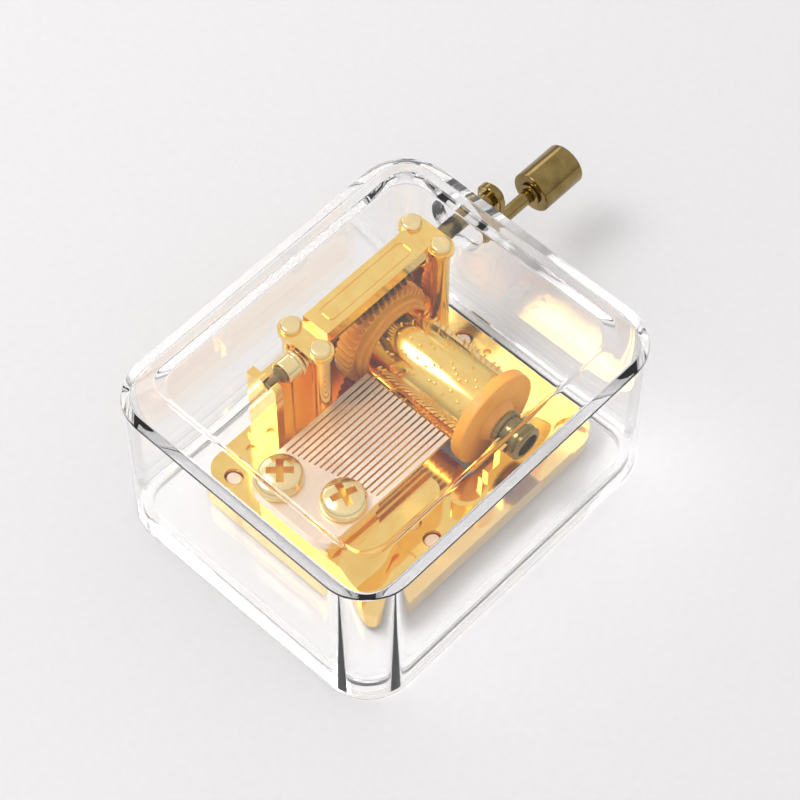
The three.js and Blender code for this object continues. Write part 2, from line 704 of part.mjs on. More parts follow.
// The arm hangs from the shaft's end to the crank pin.
function crankArm() {
  const [x0, x1] = [ARM_X0 - 1, ARM_X1 + 1];
  const shape = new THREE.Shape();
  shape.absarc(0, 0, 2.4, 0, Math.PI);
  shape.absarc(0, -CRANK_RADIUS, 1.8, Math.PI, 2 * Math.PI);
  const options = { depth: ARM_X1 - ARM_X0, bevelEnabled: false, curveSegments: 12 };
  const geometry = alignAxis(new THREE.ExtrudeGeometry(shape, options), "z");
  geometry.translate(ARM_X0, SHAFT_Y, SHAFT_Z);
  const shaftHole = bar(SHAFT_RADIUS + PRESS_FIT, x0, x1, "x", SHAFT_CENTRE, SMALL_ROUND);
  const pinHole = bar(CRANK_PIN_RADIUS + PRESS_FIT, x0, x1, "x", KNOB_CENTRE, SMALL_ROUND);
  return cut(solid(geometry), shaftHole, pinHole);
}

// The riveted end of the shaft, over the arm.
function shaftRivet() {
  const profile = [
    [0, ARM_X0 + 0.6],
    [SHAFT_RADIUS - PRESS_FIT, ARM_X0 + 0.6],
    [SHAFT_RADIUS - PRESS_FIT, ARM_X1],
    [1.9, ARM_X1],
    [1.6, ARM_X1 + 0.5],
    [0.8, ARM_X1 + 0.8],
    [0, ARM_X1 + 0.85],
  ];
  return turned(profile, "x", SHAFT_CENTRE, SMALL_ROUND);
}

function crankPin() {
  const profile = [
    [0, ARM_X0 - 0.5],
    [1.3, ARM_X0 - 0.5],
    [1.6, ARM_X0 - 0.3],
    [1.6, ARM_X0],
    [CRANK_PIN_RADIUS, ARM_X0],
    [CRANK_PIN_RADIUS, ARM_X1 + 0.02],
    [1.8, ARM_X1 + 0.02],
    [1.8, ARM_X1 + 1],
    [CRANK_PIN_RADIUS, ARM_X1 + 1.2],
    [CRANK_PIN_RADIUS, KNOB_X1 - 3],
    [0, KNOB_X1 - 3],
  ];
  return turned(profile, "x", KNOB_CENTRE, SMALL_ROUND);
}

function crankKnob() {
  const profile = [
    [0, KNOB_X0],
    [KNOB_RADIUS - 0.4, KNOB_X0],
    [KNOB_RADIUS, KNOB_X0 + 0.4],
    [KNOB_RADIUS, KNOB_X1 - 0.5],
    [KNOB_RADIUS - 0.5, KNOB_X1],
    [0, KNOB_X1],
  ];
  const depth = KNOB_X1 - 2.8;
  const bore = bar(CRANK_PIN_RADIUS + TURN_FIT, KNOB_X0 - 1, depth, "x", KNOB_CENTRE, SMALL_ROUND);
  return cut(turned(profile, "x", KNOB_CENTRE), bore);
}

// --- Assembly -----------------------------------------------------------------------------

const group = new THREE.Group();

function add(name, material, shape) {
  const { numProp, vertProperties, triVerts } = shape.getMesh();
  const geometry = new THREE.BufferGeometry();
  geometry.setAttribute("position", new THREE.BufferAttribute(vertProperties, numProp));
  geometry.setIndex(new THREE.BufferAttribute(triVerts, 1));
  geometry.computeVertexNormals();
  const mesh = new THREE.Mesh(geometry, materials[material].clone());
  mesh.material.name = material;
  mesh.name = name;
  group.add(mesh);
}

add("case_cover", "acrylic", caseCover());
add("case_base", "acrylic", caseBase());
MOUNT_HOLES.forEach((place, i) => add(`mounting_screw_${i + 1}`, "steel", mountingScrew(place)));
add("bedplate", "gold", bedplate());
add("worm_bridge", "gold", wormBridge());
COLUMN_X.forEach((x, i) =>
  COLUMN_Y.forEach((y, j) => add(`bridge_rivet_${2 * i + j + 1}`, "pale_gold", spigotHead(x, y))),
);
add("comb", "steel", comb());
COMB_SCREWS.forEach((place, i) => add(`comb_screw_${i + 1}`, "pale_gold", combScrew(place)));
for (let number = 1; number <= 4; number++) {
  add(`tuning_weight_${number}`, "lead", tuningWeight(number));
}
add("cylinder_barrel", "gold", cylinderBarrel());
add("cylinder_wheel", "amber", cylinderWheel());
add("cylinder_flange", "amber", cylinderFlange());
add(
  "cylinder_arbor",
  "steel",
  bar(ARBOR_RADIUS, -14, 17.6, "y", CYLINDER_CENTRE, SMALL_ROUND),
);
add("front_bush", "brass", frontBush());
add("rear_bush", "brass", rearBush());
add("worm_shaft", "brass", wormShaft());
add("thrust_collar", "pale_gold", shaftRing(SHAFT_RADIUS + PRESS_FIT, 2.1, -7.6, -4.6));
add("shaft_bush_front", "brass", shaftBush(COLUMN_X[0]));
add("shaft_bush_rear", "brass", shaftBush(COLUMN_X[1]));
add("crank_arm", "brass", crankArm());
add("shaft_rivet", "brass", shaftRivet());
add("crank_pin", "brass", crankPin());
const [washerX0, washerX1] = [KNOB_X0 - 0.5, KNOB_X0 - 0.05];
const washerBore = CRANK_PIN_RADIUS + TURN_FIT;
add("knob_washer", "brass", shaftRing(washerBore, 1.9, washerX0, washerX1, KNOB_CENTRE[2]));
add("crank_knob", "brass", crankKnob());

export default group;
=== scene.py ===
"""A hand-cranked cylinder music box in a clear case, dressed for the studio.

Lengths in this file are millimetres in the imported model's frame, and MM makes them metres.
"""
import json
import math
import random

import bmesh
import bpy
from mathutils import Matrix, Vector


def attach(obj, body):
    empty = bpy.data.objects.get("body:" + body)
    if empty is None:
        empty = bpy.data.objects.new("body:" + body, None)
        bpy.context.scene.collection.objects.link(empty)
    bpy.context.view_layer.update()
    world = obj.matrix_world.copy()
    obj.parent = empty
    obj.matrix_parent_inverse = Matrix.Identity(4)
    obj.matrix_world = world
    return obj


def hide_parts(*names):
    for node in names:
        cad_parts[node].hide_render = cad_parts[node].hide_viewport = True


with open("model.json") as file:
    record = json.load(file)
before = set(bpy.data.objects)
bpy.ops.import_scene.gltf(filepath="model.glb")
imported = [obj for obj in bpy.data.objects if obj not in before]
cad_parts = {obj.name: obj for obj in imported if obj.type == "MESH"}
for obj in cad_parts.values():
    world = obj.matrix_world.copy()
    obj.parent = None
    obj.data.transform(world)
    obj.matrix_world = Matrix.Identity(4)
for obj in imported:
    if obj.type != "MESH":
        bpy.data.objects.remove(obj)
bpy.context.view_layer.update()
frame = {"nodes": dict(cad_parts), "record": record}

MM = 0.001
SEED = 7

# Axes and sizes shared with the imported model.
SHAFT_Y, SHAFT_Z = 13.5, 21.0
DRUM_X, DRUM_Z = 12.4, 11.3
CRANK_RADIUS = 7.8
SHAFT_CENTRE = (0, SHAFT_Y, SHAFT_Z)
CYLINDER_CENTRE = (DRUM_X, 0, DRUM_Z)
KNOB_CENTRE = (0, SHAFT_Y, SHAFT_Z - CRANK_RADIUS)
SHAFT_RADIUS = 1.35
HUB_BORE = 1.05

WHEEL_TEETH = 42
WHEEL_ROOT, WHEEL_TIP, WHEEL_PITCH_RADIUS = 7.45, 8.5, 7.975
WHEEL_FRONT, WHEEL_BACK = 11.6, 14.7
WORM_ROOT, WORM_DEPTH, WORM_PITCH_RADIUS = 1.05, 1.05, 1.575
WORM_LEAD = 2 * math.pi * WHEEL_PITCH_RADIUS / WHEEL_TEETH
WORM_X0, WORM_X1 = 6.4, 18.4

BED_TOP = 5.0
COLUMN_X, COLUMN_Y = (-2.3, 22.8), (10.8, 16.7)
COLUMN_TOP, BRIDGE_TOP = 23.0, 25.4
MOUNT_HOLES = ((-17.2, 13.9), (-5.6, -13.8), (23.0, 6.1))

CASE_X, CASE_Y, CASE_R = 31.0, 26.0, 8.0
CASE_HEIGHT, WALL, INNER_CORNER = 32.5, 2.4, 4.4
BEVEL_RUN, BEVEL_DROP = 4.9, 3.5
LEAST_CORNER = 3.0

TOOTH_COUNT, COMB_Y0, COMB_WIDTH = 18, -7.3, 16.4
COMB_TOP = 11.7
COMB_SCREWS = ((-16.2, 5.6), (-12.85, -3.75))
SCREW_HEAD_RADIUS, SCREW_RIM, SCREW_HEIGHT = 3.5, 0.9, 2.3

CREASE = 32.0  # degrees: edges turning more than this stay crisp
WELD = 0.002  # vertices closer than this become one


# --- Mesh helpers ---------------------------------------------------------------------------

def mesh(name, verts, faces, smooth=30.0):
    """A new object from vertices in millimetres, shaded smooth below the given angle."""
    data = bpy.data.meshes.new(name)
    data.from_pydata([Vector(v) * MM for v in verts], [], faces)
    data.validate()
    obj = bpy.data.objects.new(name, data)
    bpy.context.scene.collection.objects.link(obj)
    clean(obj)
    shade(obj, smooth)
    return obj


def clean(obj):
    """Merge doubled vertices and turn every face outwards."""
    work = bmesh.new()
    work.from_mesh(obj.data)
    bmesh.ops.remove_doubles(work, verts=work.verts, dist=WELD * MM)
    bmesh.ops.recalc_face_normals(work, faces=work.faces)
    work.to_mesh(obj.data)
    work.free()


def shade(obj, angle):
    """Smooth faces, with edges sharper than angle kept crisp."""
    limit = math.radians(angle)
    work = bmesh.new()
    work.from_mesh(obj.data)
    for face in work.faces:
        face.smooth = True
    for edge in work.edges:
        edge.smooth = len(edge.link_faces) == 2 and edge.calc_face_angle(0) < limit
    work.to_mesh(obj.data)
    work.free()


def bake(obj):
    """Apply an object's modifiers to its mesh."""
    graph = bpy.context.evaluated_depsgraph_get()
    data = bpy.data.meshes.new_from_object(obj.evaluated_get(graph))
    obj.modifiers.clear()
    obj.data = data


def bevel(obj, width):
    """Round an object's edges over a width in millimetres."""
    mod = obj.modifiers.new("bevel", "BEVEL")
    mod.width = width * MM
    mod.segments = 2
    mod.limit_method = "ANGLE"
    mod.angle_limit = math.radians(35.0)
    bake(obj)
    weight_normals(obj)


def weight_normals(obj):
    """Keep the large faces flat, so that only the rounded edges bend the light."""
    shade(obj, 60.0)
    mod = obj.modifiers.new("normals", "WEIGHTED_NORMAL")
    mod.weight = 90
    mod.keep_sharp = True
    bake(obj)


def cut(obj, tool):
    """Take the tool's shape out of an object and remove the tool."""
    mod = obj.modifiers.new("cut", "BOOLEAN")
    mod.object = tool
    mod.operation = "DIFFERENCE"
    mod.solver = "EXACT"
    bake(obj)
    bpy.data.objects.remove(tool)
    shade(obj, CREASE)


def along(axis, centre, radial, angle, distance):
    """The point at a radius and angle about an axis through centre."""
    u, v = radial * math.cos(angle), radial * math.sin(angle)
    x, y, z = centre
    if axis == "x":
        return (x + distance, y + u, z + v)
    if axis == "y":
        return (x + v, y + distance, z + u)
    return (x + u, y + v, z + distance)


def lathe(name, profile, axis, centre, segments=72, closed=False):
    """A turned piece, from pairs of a radius and a distance along the axis.

    An open profile starts and ends on the axis; a closed one is a ring.
    """
    verts, rows = [], []
    for radius, distance in profile:
        if radius < 1e-6:
            rows.append([len(verts)] * segments)
            verts.append(along(axis, centre, 0, 0, distance))
            continue
        rows.append(list(range(len(verts), len(verts) + segments)))
        for i in range(segments):
            verts.append(along(axis, centre, radius, 2 * math.pi * i / segments, distance))
    pairs = list(zip(rows, rows[1:]))
    if closed:
        pairs.append((rows[-1], rows[0]))
    faces = []
    for low, high in pairs:
        for i in range(segments):
            j = (i + 1) % segments
            corners = [low[i], low[j], high[j], high[i]]
            unique = list(dict.fromkeys(corners))
            if len(unique) > 2:
                faces.append(unique)
    return mesh(name, verts, faces)


def rounded(profile, radius, steps=4, closed=False):
    """The same polyline with each inner corner replaced by a short curve."""
    count = len(profile)
    points = []
    for i, corner in enumerate(profile):
        if not closed and i in (0, count - 1):
            points.append(corner)
            continue
        here = Vector(corner)
        before = Vector(profile[i - 1]) - here
        after = Vector(profile[(i + 1) % count]) - here
        reach = min(radius, before.length * 0.45, after.length * 0.45)
        start = here + before.normalized() * reach
        end = here + after.normalized() * reach
        for step in range(steps + 1):
            t = step / steps
            point = start * (1 - t) ** 2 + here * 2 * t * (1 - t) + end * t * t
            points.append(tuple(point))
    return points


def outline(half_x, half_y, radius, steps=12):
    """Points round a rectangle with round corners, anticlockwise from above."""
    points = []
    for quarter, (sx, sy) in enumerate(((1, 1), (-1, 1), (-1, -1), (1, -1))):
        cx, cy = sx * (half_x - radius), sy * (half_y - radius)
        for step in range(steps + 1):
            angle = math.pi / 2 * (quarter + step / steps)
            points.append((cx + radius * math.cos(angle), cy + radius * math.sin(angle)))
    return points


def case_ring(inset, z, radius=None):
    """One level of the case's outline, pulled in by inset."""
    radius = radius or max(CASE_R - inset, LEAST_CORNER)
    return [(x, y, z) for x, y in outline(CASE_X - inset, CASE_Y - inset, radius)]


def skin(name, rings, capped=True, smooth=30.0):
    """A surface through rings of equally many points, closed at both ends or onto itself."""
    count = len(rings[0])
    verts = [point for ring in rings for point in ring]
    faces = []
    last = len(rings) - 1
    for r in range(last if capped else len(rings)):
        a, b = r * count, ((r + 1) % len(rings)) * count
        for i in range(count):
            j = (i + 1) % count
            faces.append((a + i, a + j, b + j, b + i))
    if capped:
        faces.append(tuple(reversed(range(count))))
        faces.append(tuple(range(last * count, (last + 1) * count)))
    return mesh(name, verts, faces, smooth)


def block(name, x0, x1, y0, y1, z0, z1):
    """A box that serves as a cutting tool."""
    verts = [(x, y, z) for x in (x0, x1) for y in (y0, y1) for z in (z0, z1)]
    faces = ((0, 1, 3, 2), (4, 6, 7, 5), (0, 4, 5, 1), (2, 3, 7, 6), (0, 2, 6, 4), (1, 5, 7, 3))
    return mesh(name, verts, faces)


def join(name, pieces):
    """One object from several, which are removed."""
    work = bmesh.new()
    for piece in pieces:
        work.from_mesh(piece.data)
        bpy.data.objects.remove(piece)
    data = bpy.data.meshes.new(name)
    work.to_mesh(data)
    work.free()
    obj = bpy.data.objects.new(name, data)
    bpy.context.scene.collection.objects.link(obj)
    shade(obj, CREASE)
    return obj


def edged_copy(node, width):
    """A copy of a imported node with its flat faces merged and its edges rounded."""
    data = frame["nodes"][node].data.copy()
    obj = bpy.data.objects.new(node + "_fine", data)
    bpy.context.scene.collection.objects.link(obj)
    work = bmesh.new()
    work.from_mesh(data)
    bmesh.ops.remove_doubles(work, verts=work.verts, dist=WELD * MM)
    limit = math.radians(1.0)
    bmesh.ops.dissolve_limit(work, angle_limit=limit, verts=work.verts, edges=work.edges)
    work.to_mesh(data)
    work.free()
    bevel(obj, width)
    return obj


# --- Materials ------------------------------------------------------------------------------

class Nodes:
    """A small helper to build a node material."""

    def __init__(self, name):
        self.material = bpy.data.materials.new(name)
        self.material.use_nodes = True
        self.tree = self.material.node_tree
        self.shader = self.tree.nodes["Principled BSDF"]
        self.output = self.tree.nodes["Material Output"]

    def add(self, kind, inputs=None, **settings):
        """A new node, with its inputs set or linked."""
        node = self.tree.nodes.new(kind)
        for key, value in settings.items():
            setattr(node, key, value)
        for key, value in (inputs or {}).items():
            if isinstance(value, bpy.types.NodeSocket):
                self.tree.links.new(value, node.inputs[key])
            else:
                node.inputs[key].default_value = value
        return node

    def place(self, scale):
        """Object coordinates, counted per millimetre."""
        coords = self.add("ShaderNodeTexCoord")
        inputs = {"Vector": coords.outputs["Object"], "Scale": tuple(s / MM for s in scale)}
        return self.add("ShaderNodeMapping", inputs).outputs["Vector"]

    def noise(self, scale, detail, stretch=(1.0, 1.0, 1.0)):
        """Noise of so many features per millimetre."""
        inputs = {
            "Vector": self.place(stretch),
            "Scale": scale,
            "Detail": detail,
            "Roughness": 0.55,
        }
        return self.add("ShaderNodeTexNoise", inputs).outputs["Fac"]

    def ramp(self, source, stops):
        """Colours spread over a source's values."""
        node = self.add("ShaderNodeValToRGB", {"Fac": source})
        elements = node.color_ramp.elements
        for i, (place, colour) in enumerate(stops):
            element = elements[i] if i < 2 else elements.new(place)
            element.position = place
            element.color = (*colour, 1.0)
        return node.outputs["Color"]

    def spread(self, source, low, high):
        """A noise stretched over the range from low to high."""
        inputs = {"Value": source, "From Min": 0.3, "From Max": 0.7, "To Min": low, "To Max": high}
        return self.add("ShaderNodeMapRange", inputs).outputs["Result"]

    def set(self, **values):
        """Set or link the shader's inputs by name."""
        for key, value in values.items():
            socket = self.shader.inputs[key.replace("_", " ")]
            if isinstance(value, bpy.types.NodeSocket):
                self.tree.links.new(value, socket)
            else:
                socket.default_value = value

    def bump(self, height, strength, distance):
        """A relief whose distance is in millimetres."""
        inputs = {"Height": height, "Strength": strength, "Distance": distance * MM}
        node = self.add("ShaderNodeBump", inputs)
        self.tree.links.new(node.outputs["Normal"], self.shader.inputs["Normal"])


def plated(name, dark, light, rough):
    """Bright plating over a casting: slow ripples, fine grain and a little tone variation."""
    m = Nodes(name)
    slow = m.noise(0.35, 3.0)
    fine = m.noise(6.0, 5.0)
    m.set(
        Base_Color=m.ramp(slow, ((0.3, dark), (0.7, light))),
        Metallic=1.0,
        Roughness=m.spread(fine, rough * 0.7, rough * 1.35),
    )
    m.bump(m.noise(0.9, 2.0), 0.012, 0.12)
    return m.material


def acrylic_material(name):
    """Clear acrylic that lets the lamps through, with faint polishing haze."""
    m = Nodes(name)
    haze = m.noise(0.25, 6.0)
    m.set(Base_Color=(1.0, 1.0, 1.0, 1.0), Transmission_Weight=1.0, IOR=1.49)
    m.set(Roughness=m.spread(haze, 0.0, 0.012))
    clear = m.add("ShaderNodeBsdfTransparent", {"Color": (1.0, 1.0, 1.0, 1.0)})
    path = m.add("ShaderNodeLightPath")
    mix = m.add(
        "ShaderNodeMixShader",
        {0: path.outputs["Is Shadow Ray"], 1: m.shader.outputs["BSDF"], 2: clear.outputs["BSDF"]},
    )
    m.tree.links.new(mix.outputs["Shader"], m.output.inputs["Surface"])
    return m.material


def steel_material(name):
    """Ground spring steel: fine grinding lines along the teeth."""
    m = Nodes(name)
    lines = m.noise(3.0, 6.0, stretch=(0.06, 5.0, 1.0))
    m.set(
        Base_Color=m.ramp(lines, ((0.3, (0.90, 0.70, 0.55)), (0.7, (1.0, 0.83, 0.67)))),
        Metallic=1.0,
        Roughness=m.spread(lines, 0.26, 0.42),
        Anisotropic=0.4,
    )
    m.bump(lines, 0.12, 0.02)
    return m.material


def amber_material(name):
    """Moulded translucent plastic with a slightly uneven skin."""
    m = Nodes(name)
    cloud = m.noise(0.3, 3.0)
    grain = m.noise(5.0, 4.0)
    m.set(
        Base_Color=m.ramp(cloud, ((0.3, (0.84, 0.33, 0.022)), (0.7, (0.92, 0.41, 0.04)))),
        Roughness=m.spread(grain, 0.32, 0.46),
        Subsurface_Weight=0.35,
        Subsurface_Radius=(0.9, 0.45, 0.12),
        Subsurface_Scale=1.5 * MM,
        IOR=1.5,
    )
    m.bump(grain, 0.08, 0.03)
    return m.material


def lead_material(name):
    """Dull, slightly pitted lead."""
    m = Nodes(name)
    cloud = m.noise(2.0, 6.0)
    m.set(
        Base_Color=m.ramp(cloud, ((0.3, (0.14, 0.14, 0.15)), (0.7, (0.26, 0.26, 0.27)))),
        Metallic=0.8,
        Roughness=m.spread(cloud, 0.5, 0.7),
    )
    m.bump(cloud, 0.3, 0.05)
    return m.material


def floor_material():
    """Pale matt paper."""
    m = Nodes("floor_paper")
    grain = m.noise(0.8, 4.0)
    m.set(
        Base_Color=m.ramp(grain, ((0.3, (0.80, 0.79, 0.80)), (0.7, (0.82, 0.81, 0.82)))),
        Roughness=0.7,
        Specular_IOR_Level=0.1,
    )
    m.bump(grain, 0.05, 0.05)
    return m.material


LOOKS = {
    "acrylic": acrylic_material("acrylic"),
    "gold": plated("gold", (0.96, 0.61, 0.15), (1.0, 0.71, 0.23), 0.11),
    "pale_gold": plated("pale_gold", (0.90, 0.69, 0.31), (0.97, 0.79, 0.42), 0.16),
    "brass": plated("brass", (0.22, 0.15, 0.05), (0.34, 0.25, 0.095), 0.15),
    "steel": steel_material("steel"),
    "amber": amber_material("amber"),
    "lead": lead_material("lead"),
}

# The second look of the comb screws, a painted reflection and shade: deeper gold inside their
# cross recesses.
RECESS_PAINTED_REFLECTION = plated("recess", (0.74, 0.33, 0.04), (0.86, 0.45, 0.08), 0.3)


def dress(piece, slot, body, *nodes):
    """Give a new piece its material and the body it rides on, and hide the nodes it stands for."""
    piece.data.materials.clear()
    piece.data.materials.append(LOOKS[slot])
    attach(piece, body)
    if nodes:
        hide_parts(*nodes)


# --- Case -----------------------------------------------------------------------------------

def case_cover():
    """One clear shell with a bevelled top, all edges just rounded."""
    slope = math.atan2(BEVEL_DROP, BEVEL_RUN)
    shoulder = CASE_HEIGHT - BEVEL_DROP
    inner_shoulder = shoulder - WALL * math.tan((math.pi / 2 - slope) / 2)
    inner_run = BEVEL_RUN + WALL * math.tan(slope / 2)
    bottom, middle = 1.65, 9.0
    outer = [(0.0, bottom), (0.0, shoulder), (BEVEL_RUN, CASE_HEIGHT), (middle, CASE_HEIGHT)]
    ceiling = CASE_HEIGHT - WALL
    inner = [(WALL, bottom), (WALL, inner_shoulder), (inner_run, ceiling), (middle, ceiling)]
    outer_rings = [case_ring(inset, z) for inset, z in rounded(outer, 0.22)]
    inner_rings = [case_ring(inset, z, INNER_CORNER) for inset, z in rounded(inner, 0.3)]
    shell = skin("cover_shell", list(reversed(inner_rings)) + outer_rings, smooth=40.0)
    radius, y, z, start, end = 4.7, 13.2, 21.3, 26, 34
    hole = [(0, start), (radius, start), (radius, end), (0, end)]
    cut(shell, lathe("hole", hole, "x", (0, y, z), 64))
    dress(shell, "acrylic", "case", "case_cover")


def case_base():
    """The clear base plate with its locating rim and counterbored screw holes."""
    foot, floor, rim_top = 0.5, 1.6, 3.5
    rim_outer, rim_inner = 2.7, 3.9
    profile = [(foot, 0.0), (0.0, foot), (0.0, floor), (rim_outer, floor)]
    profile += [(rim_outer, rim_top), (rim_inner, rim_top), (rim_inner, floor)]
    rings = [case_ring(inset, z) for inset, z in rounded(profile, 0.25, 3)]
    plate = skin("base_plate", rings, smooth=40.0)
    below, seat, above = -1, 0.95, 3
    head, shank = 2.3, 1.5
    bored = [(0, below), (head, below), (head, seat), (shank, seat), (shank, above), (0, above)]
    for place in MOUNT_HOLES:
        cut(plate, lathe("bore", bored, "z", (*place, 0), 48))
    dress(plate, "acrylic", "case", "case_base")


case_cover()
case_base()


# --- Plated castings ------------------------------------------------------------------------

dress(edged_copy("bedplate", 0.18), "gold", "case", "bedplate")


def worm_bridge():
    """The pressed bridge, with a plain engraved border on its top plate."""
    piece = edged_copy("worm_bridge", 0.25)
    top, depth, line, corner = BRIDGE_TOP, 0.18, 0.22, 0.8
    x0, x1, y0, y1 = 1.6, 18.6, 12.3, 15.1
    rings = []
    for inset, z in ((0, top - depth), (0, top + 1), (line, top + 1), (line, top - depth)):
        half_x, half_y = (x1 - x0) / 2 - inset, (y1 - y0) / 2 - inset
        centre_x, centre_y = (x0 + x1) / 2, (y0 + y1) / 2
        points = outline(half_x, half_y, corner - inset, 6)
        rings.append([(centre_x + x, centre_y + y, z) for x, y in points])
    cut(piece, skin("groove", rings, capped=False))
    dress(piece, "gold", "case", "worm_bridge")


worm_bridge()
dress(edged_copy("comb", 0.05), "steel", "case", "comb")


def rivet_heads():
    """The riveted-over heads of the four column spigots."""
    base = COLUMN_TOP + 1
    profile = [(0, base + 0.5), (1.25, base + 0.5), (1.25, base), (1.6, base), (1.6, base + 0.5)]
    profile += [(1.3, base + 0.8), (0, base + 0.86)]
    places = [(x, y, 0) for x in COLUMN_X for y in COLUMN_Y]
    for number, place in enumerate(places, 1):
        head = lathe(f"rivet_head_{number}", rounded(profile, 0.12), "z", place, 48)
        dress(head, "pale_gold", "case", f"bridge_rivet_{number}")


def paint_recess_reflection(head, x, y, reach):
    """Painted reflection and shade: deeper gold inside the cross recess, standing in for the
    plating reflecting itself.
    """
    head.data.materials.append(RECESS_PAINTED_REFLECTION)
    for face in head.data.polygons:
        centre = face.center / MM
        inside = math.hypot(centre.x - x, centre.y - y) < reach
        if inside and COMB_TOP + SCREW_RIM < centre.z < COMB_TOP + 2.0:
            face.material_index = 1


def comb_screws():
    """Domed heads with a cross recess."""
    top, shank, edge = COMB_TOP + SCREW_HEIGHT, 1.4, SCREW_HEAD_RADIUS
    profile = [(0, BED_TOP), (shank, BED_TOP), (shank, COMB_TOP), (edge, COMB_TOP)]
    profile += [(edge, COMB_TOP + SCREW_RIM), (edge - 0.4, COMB_TOP + 1.8), (1.6, top), (0, top)]
    wide, thin, depth = 2.0, 0.55, 1.2
    for number, (x, y) in enumerate(COMB_SCREWS, 1):
        head = lathe(f"screw_head_{number}", rounded(profile, 0.45), "z", (x, y, 0), 72)
        turn = Matrix.Rotation(math.radians(20 + 25 * number), 4, "Z")
        for quarter in (0, 1):
            slot = block("slot", -wide, wide, -thin, thin, -depth, 1)
            spin = turn @ Matrix.Rotation(quarter * math.pi / 2, 4, "Z")
            slot.data.transform(spin)
            slot.data.transform(Matrix.Translation(Vector((x, y, top)) * MM))
            cut(head, slot)
        dress(head, "pale_gold", "case", f"comb_screw_{number}")
        # The recess faces get the painted reflection and shade.
        paint_recess_reflection(head, x, y, wide)


rivet_heads()
comb_screws()


# --- Cylinder -------------------------------------------------------------------------------

def barrel():
    """A polished tube with rows of short pins."""
    inner, outer, front, back = 5.6, 6.2, -8.0, 9.9
    ring = [(inner, front), (outer, front), (outer, back), (inner, back)]
    tube = lathe("tube", rounded(ring, 0.12, 3, True), "y", CYLINDER_CENTRE, 120, closed=True)
    pieces = [tube]
    profile = [(0, 5.9), (0.2, 5.9), (0.18, 6.62), (0, 6.68)]
    draw = random.Random(SEED)
    pitch = COMB_WIDTH / TOOTH_COUNT
    for tooth in range(TOOTH_COUNT):
        notes = draw.randint(7, 12)
        start = draw.random()
        for note in range(notes):
            share = start + (note + 0.7 * draw.random()) / notes
            y = COMB_Y0 + (tooth + 0.5) * pitch
            pin = lathe("pin", profile, "z", (0, y, 0), 8)
            pin.data.transform(Matrix.Rotation(2 * math.pi * share, 4, "Y"))
            pin.data.transform(Matrix.Translation(Vector(CYLINDER_CENTRE) * MM))
            pieces.append(pin)
    dress(join("pinned_barrel", pieces), "gold", "cylinder", "cylinder_barrel")


def wheel_ring(y, shrink):
    """One level of the slanting teeth. shrink draws the tips in at the wheel's faces."""
    slant = WORM_LEAD / (2 * math.pi * WORM_PITCH_RADIUS) / WHEEL_PITCH_RADIUS
    root, tip = WHEEL_ROOT, WHEEL_TIP - shrink
    shape = ((-0.5, 0.0), (-0.31, 0.0), (-0.2, 0.5), (-0.11, 0.93), (-0.05, 1.0))
    shape += ((0.05, 1.0), (0.11, 0.93), (0.2, 0.5), (0.31, 0.0))
    ring = []
    for tooth in range(WHEEL_TEETH):
        for share, height in shape:
            angle = 2 * math.pi * (tooth + share) / WHEEL_TEETH + (y - SHAFT_Y) * slant
            radius = root + (tip - root) * height
            ring.append((DRUM_X + radius * math.sin(angle), y, DRUM_Z + radius * math.cos(angle)))
    return ring


def worm_wheel():
    """The moulded wheel: toothed rim, stepped hub and a small boss."""
    at, front, back = CYLINDER_CENTRE, WHEEL_FRONT, WHEEL_BACK
    edge, shrink = 0.3, 0.35
    levels = ((front, shrink), (front + edge, 0), ((front + back) / 2, 0))
    levels += ((back - edge, 0), (back, shrink))
    rim = skin("rim", [wheel_ring(y, drawn_in) for y, drawn_in in levels])
    hub = [(HUB_BORE, 7.9), (5.3, 7.9), (5.3, 9.92), (6.6, 9.92), (6.6, 10.7), (7.2, 10.7)]
    hub += [(7.2, 11.8), (HUB_BORE, 11.8)]
    hub_piece = lathe("hub", rounded(hub, 0.15, 3, True), "y", at, 96, closed=True)
    boss = [(HUB_BORE, 14.5), (2.4, 14.5), (2.4, 15.0), (HUB_BORE, 15.0)]
    boss_piece = lathe("boss", rounded(boss, 0.15, 3, True), "y", at, 64, closed=True)
    wheel = join("worm_wheel", [rim, hub_piece, boss_piece])
    dress(wheel, "amber", "cylinder", "cylinder_wheel")


def end_flange():
    """The moulded disc that closes the barrel's front end."""
    profile = [(HUB_BORE, -11.3), (2.7, -11.3), (3.5, -9.9), (7.75, -9.9), (7.75, -8.02)]
    profile += [(5.3, -8.02), (5.3, -6.0), (HUB_BORE, -6.0)]
    piece = lathe("end_flange", rounded(profile, 0.35, 4, True), "y", CYLINDER_CENTRE, 120,
                  closed=True)
    dress(piece, "amber", "cylinder", "cylinder_flange")


def bushes():
    """The ringed brass bush in the fork, and the crank shaft's two bushes."""
    front = [(1.07, -14.4), (1.9, -14.4), (1.9, -15.6), (2.4, -15.6), (2.85, -15.3)]
    front += [(2.85, -14.95), (2.6, -14.85), (2.6, -14.6), (2.85, -14.5), (2.85, -13.8)]
    front += [(2.2, -13.8), (2.2, -12.3), (2.8, -12.3), (3.0, -11.6), (1.07, -11.6)]
    piece = lathe("fork_bush", rounded(front, 0.12, 3, True), "y", CYLINDER_CENTRE, 72,
                  closed=True)
    dress(piece, "brass", "case", "front_bush")
    bore, collar, sleeve = 1.42, 1.95, 1.8
    for x, end in zip(COLUMN_X, ("front", "rear")):
        ring = [(bore, x - 2.1), (collar, x - 2.1), (collar, x - 1.5), (sleeve, x - 1.5)]
        ring += [(sleeve, x + 1.4), (bore, x + 1.4)]
        bush = lathe(f"{end}_shaft_bush", rounded(ring, 0.1, 3, True), "x", SHAFT_CENTRE, 64,
                     closed=True)
        dress(bush, "pale_gold", "case", f"shaft_bush_{end}")


barrel()
worm_wheel()
end_flange()
bushes()


# --- Crank ----------------------------------------------------------------------------------

